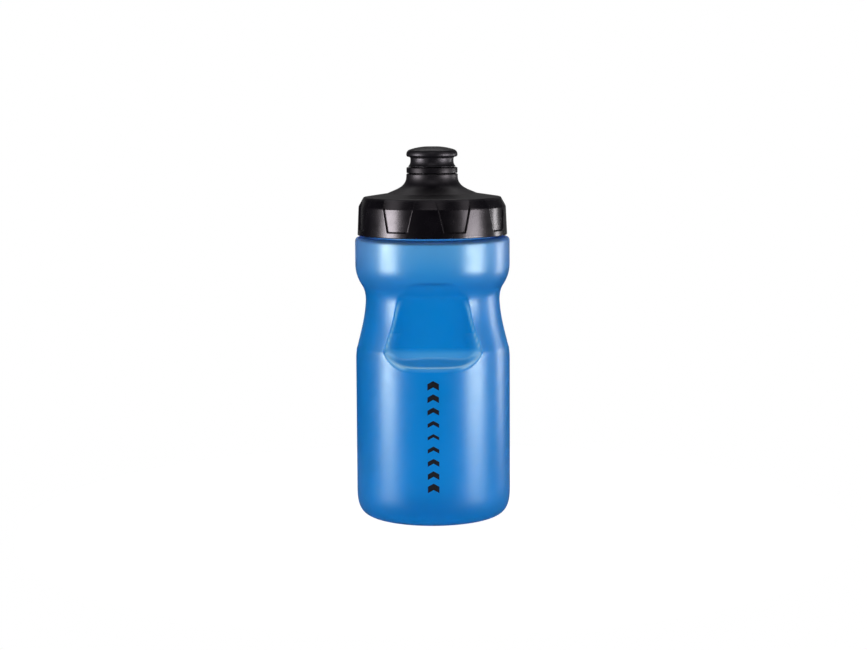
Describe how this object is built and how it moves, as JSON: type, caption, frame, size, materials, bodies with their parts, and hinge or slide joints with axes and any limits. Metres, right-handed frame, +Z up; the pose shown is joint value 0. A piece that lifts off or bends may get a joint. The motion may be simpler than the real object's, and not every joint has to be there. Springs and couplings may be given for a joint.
{
  "type": "sports squeeze bottle",
  "caption": "Waisted translucent squeeze bottle with thumb scoops, a black screw lid with grip pockets and a push-pull drinking spout.",
  "frame": {"origin": "centre of the standing ring, on the surface the bottle stands on", "axes": "+Z up along the bottle's axis to the spout; one thumb scoop faces -Y"},
  "size_m": [0.0744, 0.0744, 0.1791],
  "materials": {
    "translucent_blue": "frosted, translucent low-density polyethylene",
    "black_polypropylene": "satin moulded polypropylene",
    "soft_black": "soft matt thermoplastic elastomer",
    "silicone": "matt silicone"
  },
  "bodies": {
    "bottle": {"bottle_body": "translucent_blue"},
    "lid_seal": {"lid_gasket": "silicone"},
    "lid": {"lid_shell": "black_polypropylene", "valve_stem": "black_polypropylene"},
    "spout_seal": {"spout_o_ring": "silicone"},
    "spout": {"spout_sleeve": "black_polypropylene", "spout_nozzle": "soft_black"}
  },
  "joints": [
    {"name": "lid_rise", "type": "slide", "parent": "bottle", "child": "lid_seal", "axis": [0, 0, 1], "range_m": [0, 0.015]},
    {"name": "lid_turn", "type": "hinge", "parent": "lid_seal", "child": "lid", "pos_m": [0, 0, 0.1429], "axis": [0, 0, 1], "range_deg": [0, 900]},
    {"name": "spout_pull", "type": "slide", "parent": "lid", "child": "spout_seal", "axis": [0, 0, 1], "range_m": [0, 0.006]},
    {"name": "spout_spin", "type": "hinge", "parent": "spout_seal", "child": "spout", "pos_m": [0, 0, 0.167], "axis": [0, 0, 1], "continuous": true}
  ],
  "couplings": [
    {"joint": "lid_rise", "follows": "lid_turn", "m_per_rad": 0.00095493}
  ]
}
